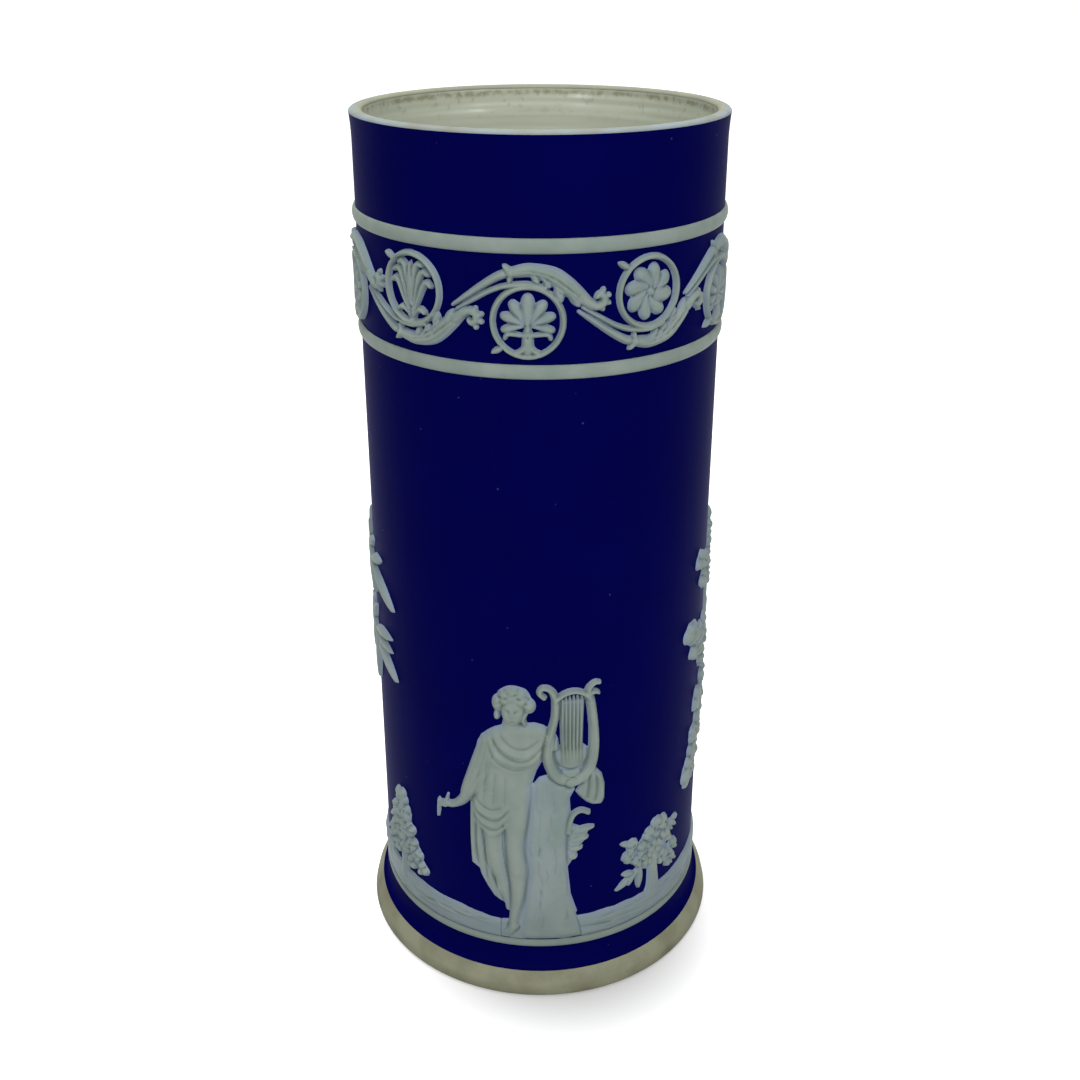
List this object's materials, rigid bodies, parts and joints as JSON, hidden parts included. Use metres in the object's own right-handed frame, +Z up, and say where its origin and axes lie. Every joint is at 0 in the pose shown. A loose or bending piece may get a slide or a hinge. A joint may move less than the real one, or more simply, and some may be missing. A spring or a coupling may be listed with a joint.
{
  "type": "spill vase",
  "caption": "Tall cylindrical stoneware spill vase on a flared foot, dark blue slip coat with applied off-white reliefs: scroll frieze, draped lyre player, shrubs and trees.",
  "frame": {"origin": "centre of the foot ring on the table", "axes": "+Z up along the turned axis, front with the figure towards -Y, +X to the right as seen from the front"},
  "size_m": [0.0708, 0.0708, 0.16],
  "materials": {
    "stoneware": "dry matt fired clay",
    "blue_slip": "dry matt slip",
    "clear_glaze": "semi-gloss",
    "relief_clay": "dry matt fired clay"
  },
  "bodies": {
    "root": {"body": "stoneware", "blue_dip": "blue_slip", "inner_glaze": "clear_glaze", "frieze_top_bead": "relief_clay", "frieze_bottom_bead": "relief_clay", "ground_fillet": "relief_clay", "ground_bank_right": "relief_clay", "ground_bank_left": "relief_clay", "figure_front": "relief_clay", "figure_back": "relief_clay", "shrub_round_front": "relief_clay", "shrub_tall_front": "relief_clay", "shrub_round_back": "relief_clay", "shrub_tall_back": "relief_clay", "tree_oak": "relief_clay", "tree_willow": "relief_clay", "frieze_scroll_1": "relief_clay", "frieze_scroll_2": "relief_clay", "frieze_scroll_3": "relief_clay", "frieze_scroll_4": "relief_clay", "frieze_scroll_5": "relief_clay", "frieze_scroll_6": "relief_clay", "frieze_scroll_7": "relief_clay", "frieze_scroll_8": "relief_clay", "frieze_scroll_9": "relief_clay", "frieze_scroll_10": "relief_clay"}
  },
  "joints": []
}
